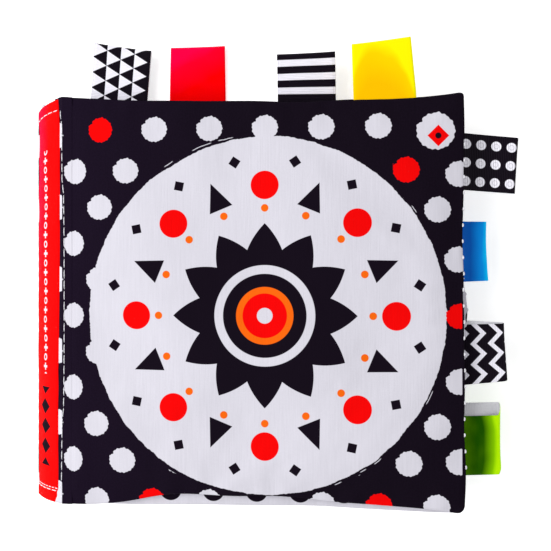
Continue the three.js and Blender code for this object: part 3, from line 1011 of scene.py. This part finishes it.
def front_margin():
    """The margin's cloth, from under the red cloth over the crease on to the front cover."""
    panel = PANELS["front_cover"]
    s = np.linspace(RED_END - MARGIN_UNDERLAP, SPINE_LENGTH - 0.5, 15)
    turned = arc(front_place, angle_of(spine_place.axes[2]), angle_of(front_place.axes[2]))
    height = cover_rise(panel, MARGIN_LAP) + LAP_PROUD * smooth(MARGIN_LAP - 1)
    path, distances, thickness = margin_path(s, s - SPINE_LENGTH, turned, front_place, height)

    def lift(distance, y):
        relief = np.where(distance > 0.5, panel.relief(np.maximum(distance, panel.gap), y), 0)
        return relief - under_red(distance + SPINE_LENGTH, y)

    def head(distance, y):
        drawn = panel.outline(np.maximum(distance, 0) + 0 * y, y + 0 * distance)[1] - y
        return drawn - corner_drop(distance + SPINE_LENGTH, y)

    piece = sweep("front_margin_cloth", path, distances, thickness, cover_cloth, lift=lift, shift=head)
    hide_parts("spine_front_margin")
    bend_in_front(piece)
    return path, distances


def back_margin():
    """The margin's cloth, from under the red cloth round the crease on to the back cover."""
    s = np.linspace(RED_START + MARGIN_UNDERLAP, 0.5, 15)
    turned = arc(back_place, angle_of(spine_place.axes[2]), 1.5 * pi, 11)
    height = -SEAM_HALF - LAP_PROUD * smooth(MARGIN_LAP - 1)
    section = [line[::-1] for line in margin_path(s, -s, turned, back_place, height)]
    piece = sweep("back_margin_cloth", *section, cover_cloth,
                  lift=lambda distance, y: -under_red(-distance, y),
                  shift=lambda distance, y: -corner_drop(-distance, y))
    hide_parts("spine_back_margin")
    bend_at_back(piece)


def spine_red():
    """The red cloth, turned under at head and tail into its hems."""
    under = 0.75
    turned = np.linspace(0, pi, 7)
    depth = np.linspace(HEM_DEPTH, 0.9, 5)
    tail_y = np.r_[-COVER_HALF + depth, -COVER_HALF + under / 2 - np.sin(turned) * under / 2]
    tail_z = np.r_[np.full(5, -under), -under / 2 - np.cos(turned) * under / 2]
    middle = np.linspace(-COVER_HALF + 1, COVER_HALF - 1, 100)
    ys = np.r_[tail_y, middle, -tail_y[::-1]][:, None]
    zs = np.r_[tail_z, np.zeros(100), tail_z[::-1]][:, None]
    start, end = red_span(ys)
    s = start + (end - start) * np.linspace(0, 1, 15)[None, :]
    dip = 0
    for line in HEAD_LINES + TAIL_LINES:
        gap = ys - line
        dip = dip + 0.16 * np.exp(-((gap / 0.7) ** 2)) - 0.08 * np.exp(-((gap / 2.5) ** 2))
    height = bulge(s) + zs + 0.1 * spine_ripple(s, ys) - dip * (zs > -0.1)
    outer = spine_place.put(s, ys - corner_drop(s, ys), height)
    uv = grid(s - SPINE_LENGTH / 2, ys)
    piece = cloth_strip("spine_red_cloth", outer, CLOTH * 0.8, uv, [spine_cloth])
    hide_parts("spine_red_strip", "spine_head_hem", "spine_tail_hem")
    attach(piece, "spine")


def spine_inside():
    """The lining cloth behind the leaves, and its two folds over the creases."""
    s = np.linspace(1.6, SPINE_LENGTH - 1.6, 15)[None, ::-1]
    rows = page_rows[:, None]
    height = -SEAM_HALF + 0.05 * spine_ripple(s + 40, rows)
    outer = spine_place.put(s, rows - corner_drop(s, rows), height)
    piece = cloth_strip("spine_lining_cloth", outer, CLOTH, grid(s, rows), [lining_cloth])
    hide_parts("spine_lining")
    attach(piece, "spine")
    s = np.linspace(SPINE_LENGTH - 3.4, SPINE_LENGTH - 1.2, 5)
    x = np.linspace(1.4, LAP_END, 5)
    path = line_in(spine_place, s, -SEAM_HALF)
    path += line_in(front_place, x, cover_rise(PANELS["front_cover"], x, False))
    distances = np.r_[s - SPINE_LENGTH, x]
    piece = sweep("front_crease_lining", path[::-1], distances[::-1], CLOTH, lining_cloth)
    bend_in_front(piece)
    s = np.linspace(3.6, 1.4, 5)
    x = np.linspace(1.6, LAP_END + 0.6, 6)
    path = line_in(spine_place, s, -SEAM_HALF)
    path += line_in(back_place, x, cover_rise(PANELS["back_cover"], x))
    piece = sweep("back_crease_lining", path, np.r_[-s, x], CLOTH, lining_cloth)
    bend_at_back(piece)


def leaf_binding(name):
    """The sewn tape that holds a leaf's bound edge to the lining."""
    place = PANELS[name].place
    half = LEAF["height"] / 2 - 1
    foot = place.origin + spine_place.axes[2] * 1.05
    t = np.linspace(0, 1, 4)[:-1]
    x = np.linspace(0.3, 2.6, 5)
    path = [tuple((foot + (place.origin - foot) * k)[[0, 2]]) for k in t] + line_in(place, x, 0.3)
    distances = np.r_[t * 0.9 - 1, x]
    rows = np.linspace(-half, half, 60)
    piece = sweep(name + "_binding", path, distances, 0.6, lining_cloth, rows, place.origin[1])
    bend(piece)


front_section = front_margin()
back_margin()
spine_red()
spine_inside()
for i in range(LEAF_COUNT):
    leaf_binding("leaf_%d" % (i + 1))


# Stitching

def stitches(name, path, lift, length, pitch, radius, rise=0.22):
    """Separate stitches along a path, each of which rises out of the cloth along the lift and dips back."""
    path = np.array(path, float)
    lift = unit(np.array(lift, float))
    run = np.r_[0, np.cumsum(np.linalg.norm(np.diff(path, axis=0), axis=1))]
    t = np.linspace(0, 1, STITCH_RINGS)
    hump = np.sin(pi * t)
    ring = np.linspace(0, WHOLE_TURN, STITCH_SIDES, endpoint=False)
    k = np.arange(STITCH_SIDES)
    after = (k + 1) % STITCH_SIDES
    points, faces, uvs = [], [], []
    spaces = max(1, round(run[-1] / pitch))
    for number in range(spaces):
        at = (number + 0.5) * run[-1] / spaces + length * (t - 0.5)
        middle = np.stack([np.interp(at, run, path[:, axis]) for axis in range(3)], 1)
        side = unit(np.cross(unit(middle[-1] - middle[0]), lift))
        middle = middle + lift * (hump ** 0.6 * rise - radius * 0.6)[:, None]
        thick = radius * (0.45 + 0.55 * hump ** 0.5)
        circle = np.cos(ring)[None, :, None] * side + np.sin(ring)[None, :, None] * lift
        body = middle[:, None] + thick[:, None, None] * circle
        points += [body.reshape(-1, 3), middle[[0, -1]]]
        uvs.append(np.stack([np.repeat(at, STITCH_SIDES), np.tile(ring * radius, STITCH_RINGS)], 1))
        uvs.append(np.array([[at[0], 0], [at[-1], 0]]))
        ends = STITCH_SIDES * STITCH_RINGS
        base = number * (ends + 2)
        for low in range(base, base + ends - STITCH_SIDES, STITCH_SIDES):
            high = low + STITCH_SIDES
            faces += np.stack([low + k, low + after, high + after, high + k], 1).tolist()
        first, last = base + ends + 0 * k, base + ends + 1 + 0 * k
        faces += np.stack([base + after, base + k, first], 1).tolist()
        faces += np.stack([high + k, high + after, last], 1).tolist()
    piece = make_mesh(name, np.concatenate(points), faces, np.concatenate(uvs), [white_thread])
    return piece


def crease_stitching():
    """The spine's long stitch lines: one bowed along the front crease, one round the back crease."""
    path, distances = front_section
    ys = np.linspace(TAIL_LINES[0], HEAD_LINES[0], 120)
    where = 0.75 - 1.7 * np.abs(ys / COVER_HALF) ** 3
    line = np.stack([np.interp(where, distances, path[:, 0]), ys + back_place.origin[1],
                     np.interp(where, distances, path[:, 1])], 1)
    lift = front_place.axes[2] + spine_place.axes[2]
    piece = stitches("front_crease_stitches", line, lift, *CREASE_STITCH)
    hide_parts("front_crease_stitching")
    bend_in_front(piece)
    out = np.array([cos(BACK_STITCH_ANGLE), 0, sin(BACK_STITCH_ANGLE)])
    line = back_place.put(SEAM_HALF * out[0], ys, SEAM_HALF * out[2])
    piece = stitches("back_crease_stitches", line, out, *CREASE_STITCH)
    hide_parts("back_crease_stitching")
    bend_at_back(piece)


def hem_stitching():
    for end, lines in (("head", HEAD_LINES), ("tail", TAIL_LINES)):
        for i, y in enumerate(lines):
            left, right = red_span(np.array([y]))
            s = np.linspace(left[0] + 0.3, right[0], 24)
            path = spine_place.put(s, y - corner_drop(s, y), bulge(s) - 0.06)
            length = 3.4 if i == 0 else 1.6
            name = "spine_%s_stitches" % end + ("_outer" if i else "")
            piece = stitches(name, path, spine_place.axes[2], length, length + 0.45, 0.2)
            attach(piece, "spine")
            if i == 0:
                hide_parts("spine_%s_stitching" % end)


def edge_stitching(name):
    """Short white stitches that close the seam along a panel's fore edge."""
    panel = PANELS[name]
    ys = np.linspace(-panel.half + 13.6, panel.half - 16.4, 80)
    px, py = panel.outline(np.full(80, float(panel.width)), ys)
    path = panel.place.put(px - 0.05, py, 0.08)
    lift = panel.place.axes[0] + panel.place.axes[2] * 0.8
    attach(stitches(name + "_fore_stitches", path, lift, *EDGE_STITCH), name)


crease_stitching()
hem_stitching()
for name in PANELS:
    edge_stitching(name)


# Ribbon tags. A tag leans along its seam, its fold line slants, and it turns and narrows. Short is what it
# lacks beside its packed ribbon. Its back layer slides along by the two splays, at the seam and the fold.

# A satin tag's colours are its painted shade near the seam, its lit colour and its painted highlight; the
# dot tag's share darkens it near the seam as painted shade
TAGS = {
    "triangle": dict(panel="leaf_4", mask=triangle_mask, lean=-1.2, slant=0.05),
    "red_satin": dict(panel="back_cover", narrow=0.05, slant=-0.02, satin=(
        (0.95, 0.0003, 0.0006), (0.92, 0.0005, 0.03), (0.92, 0.0012, 0.06), 9, 14, 0.035)),
    "stripe": dict(panel="leaf_3", mask=stripe_mask, turn=0.03, slant=-0.03),
    "yellow_satin": dict(panel="front_cover", lean=0.7, slant=-0.037, narrow=0.06, width=22.6, satin=(
        (0.84, 0.46, 0.0008), (0.86, 0.62, 0.0006), (0.86, 0.82, 0.002), 3, 15, -0.025, 0.9)),
    "dot": dict(panel="front_cover", mask=dot_mask, lean=-1.3, slant=0.03, narrow=0.02, width=20.4,
                dim=0.45),
    "blue_satin": dict(panel="leaf_1", slant=-0.07, lean=0.45, short=0.5, satin=(
        (0.0005, 0.09, 0.44), (0.0005, 0.36, 1), (0.0005, 0.62, 1), 3.5, 9.6, 0, 0, 0.02)),
    "chevron": dict(panel="leaf_1", mask=chevron_mask, lean=0.8, slant=-0.035, narrow=0.05,
                    splay=(1.6, 0.4)),
    "green_satin": dict(panel="leaf_2", splay=(5.0, 4.6), satin=(
        (0.014, 0.1, 0.0004), (0.36, 0.84, 0.0012), (0.55, 1, 0.003), 10.6, 5.5, 0, 0.25, 0.06, 0.3)),
}


def ribbon(name, tag, seed):
    """A ribbon folded back on itself, with its two ends sewn into the seam."""
    joint = JOINTS[name + "_flop"]
    seat = np.array(joint["pos_m"]) / MM
    hinge = np.array(joint["axis"], float)
    points = np.array([v.co for v in frame["nodes"][name + "_tag"].data.vertices]) / MM - seat
    way = points.mean(0)
    way = unit(way - hinge * (way @ hinge))
    place = Place(seat, way, np.cross(way, hinge))
    length = (points @ way).max() - tag.get("short", 0)
    fold = length - LOOP_HALF
    half = tag.get("width", TAG_WIDTH) / 2
    across = np.linspace(-half, half, 27)[None, :]
    straight = np.linspace(-SEWN_IN, fold, 30)
    turned = np.linspace(pi / 2, -pi / 2, 11)[1:-1]
    mouth = MOUTH_HALF + (LOOP_HALF - MOUTH_HALF) * np.clip(straight / fold, 0, 1) ** 1.3
    xs = np.r_[straight, fold + LOOP_HALF * np.cos(turned), straight[::-1]]
    zs = np.r_[mouth, LOOP_HALF * np.sin(turned), -mouth[::-1]][:, None]
    run = np.r_[0, np.cumsum(np.hypot(np.diff(xs), np.diff(zs[:, 0])))][:, None] - SEWN_IN
    xs = xs[:, None]
    out = np.clip(xs / length, 0, 1)
    seam_splay, fold_splay = tag.get("splay", (0, 0))
    back = np.clip((run - fold) / (2 * LOOP_HALF), 0, 1)
    splay = back * (fold_splay * out + seam_splay * (1 - out))
    x_grid = xs * (1 + tag.get("slant", 0) * across / half * (xs > 0))
    x_grid = x_grid + tag.get("turn", 0) * across * smooth((xs + SEWN_IN) / SEWN_IN)
    y_grid = across * (1 - tag.get("narrow", 0) * out) + (splay + tag.get("lean", 0) * out)
    warp = 0.25 * ripples(seed, 24)(x_grid, y_grid) + 0.5 * (across / half) ** 2
    outer = place.put(x_grid, y_grid, zs + warp * out)
    uv = grid(np.where(run > fold + 2, 2 * fold + 4 - run, run), across)
    if "satin" in tag:
        finish = satin(name, *tag["satin"])
    else:
        finish = grosgrain(name + "_ribbon", tag["mask"], tag.get("dim", 0))
    piece = cloth_strip(name + "_ribbon", outer[:, ::-1], 0.3, uv[:, ::-1], [finish, pale_back])
    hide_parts(name + "_tag")
    bend(piece)


for i, (name, tag) in enumerate(TAGS.items()):
    ribbon(name, tag, 90 + i)


# Filling: wadding, crinkle film and seam threads inside the pads

def filling(panel, part, material, low, high, length, height):
    """A lumpy sheet inside a pad, between two shares of the pad's own height, well inside its seams."""
    x, y = panel.stations(3.4, (0, 2))
    depth = panel.width - panel.gap
    x = panel.gap + FILLING_GAP + (x - panel.gap) * (depth - FILLING_GAP - FILLING_INSET) / depth
    y = y * (panel.half - FILLING_INSET) / panel.half
    px, py = panel.outline(x, y)
    faces = []
    for share, seed in ((high, 1), (low, 2)):
        lumps = ripples(seed + len(part), length)(x, y) * height
        faces.append(panel.place.put(px, py, panel.face(x, y, share > 0) * abs(share) + lumps))
    piece = closed_mesh(panel.body + "_" + part + "_sheet", *faces, grid(x, y), [material])
    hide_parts(panel.body + "_" + part)
    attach(piece, panel.body)


wadding_finish = filling_finish("wadding", WADDING_WHITE, 0.95, 0.1, 2.5, 0.4)
film_finish = filling_finish("crinkle_film", FILM_GREY, 0.18, 0.6, 3.5, 0.3)
for panel in PANELS.values():
    filling(panel, "wadding", wadding_finish, -0.45, 0.27, 9, 0.03)
    filling(panel, "crinkle_film", film_finish, 0.42, 0.58, 5, 0.02)

for name, node in frame["nodes"].items():
    if name.endswith("thread") or name == "spine_wadding":
        node.data.materials.clear()
        node.data.materials.append(black_thread if name.endswith("thread") else wadding_finish)


# Stage, light and camera

def stage():
    """A pale floor whose own faint glow keeps the shadows thin."""
    finish = Finish("floor", 0.9, 0.0)
    finish.set("Base Color", finish.shade(FLOOR_WHITE, finish.noise(60, 60, 2) * 0.01 + 0.995))
    finish.set("Emission Color", (1, 1, 1))
    finish.set("Emission Strength", 0.5)
    corners = np.array([[-1, -1, 0], [1, -1, 0], [1, 1, 0], [-1, 1, 0]]) * FLOOR_HALF
    corners[:, 2] = -0.05
    make_mesh("floor", corners, [[0, 1, 2, 3]], corners[:, :2], [finish.material])


def studio():
    scene = bpy.context.scene
    scene.view_settings.view_transform = "Standard"
    scene.world = bpy.data.worlds.new("studio")
    scene.world.use_nodes = True
    background = scene.world.node_tree.nodes["Background"]
    background.inputs[0].default_value = (1, 1, 1, 1)
    background.inputs[1].default_value = 0.62
    key = bpy.data.lights.new("key", "AREA")
    key.shape = "RECTANGLE"
    key.size, key.size_y = 0.5, 0.6
    key.energy = 4.2
    light = bpy.data.objects.new("key", key)
    light.location = KEY_PLACE
    light.rotation_euler = (-Vector(KEY_PLACE)).to_track_quat("-Z", "Y").to_euler()
    scene.camera = bpy.data.objects.new("camera", bpy.data.cameras.new("camera"))
    scene.camera.data.angle = VIEW_ANGLE
    over_x, over_y = front_place.origin[:2] + CAMERA_OVER
    scene.camera.location = (over_x * MM, over_y * MM, CAMERA_HEIGHT * MM)
    for thing in (light, scene.camera):
        scene.collection.objects.link(thing)


stage()
studio()
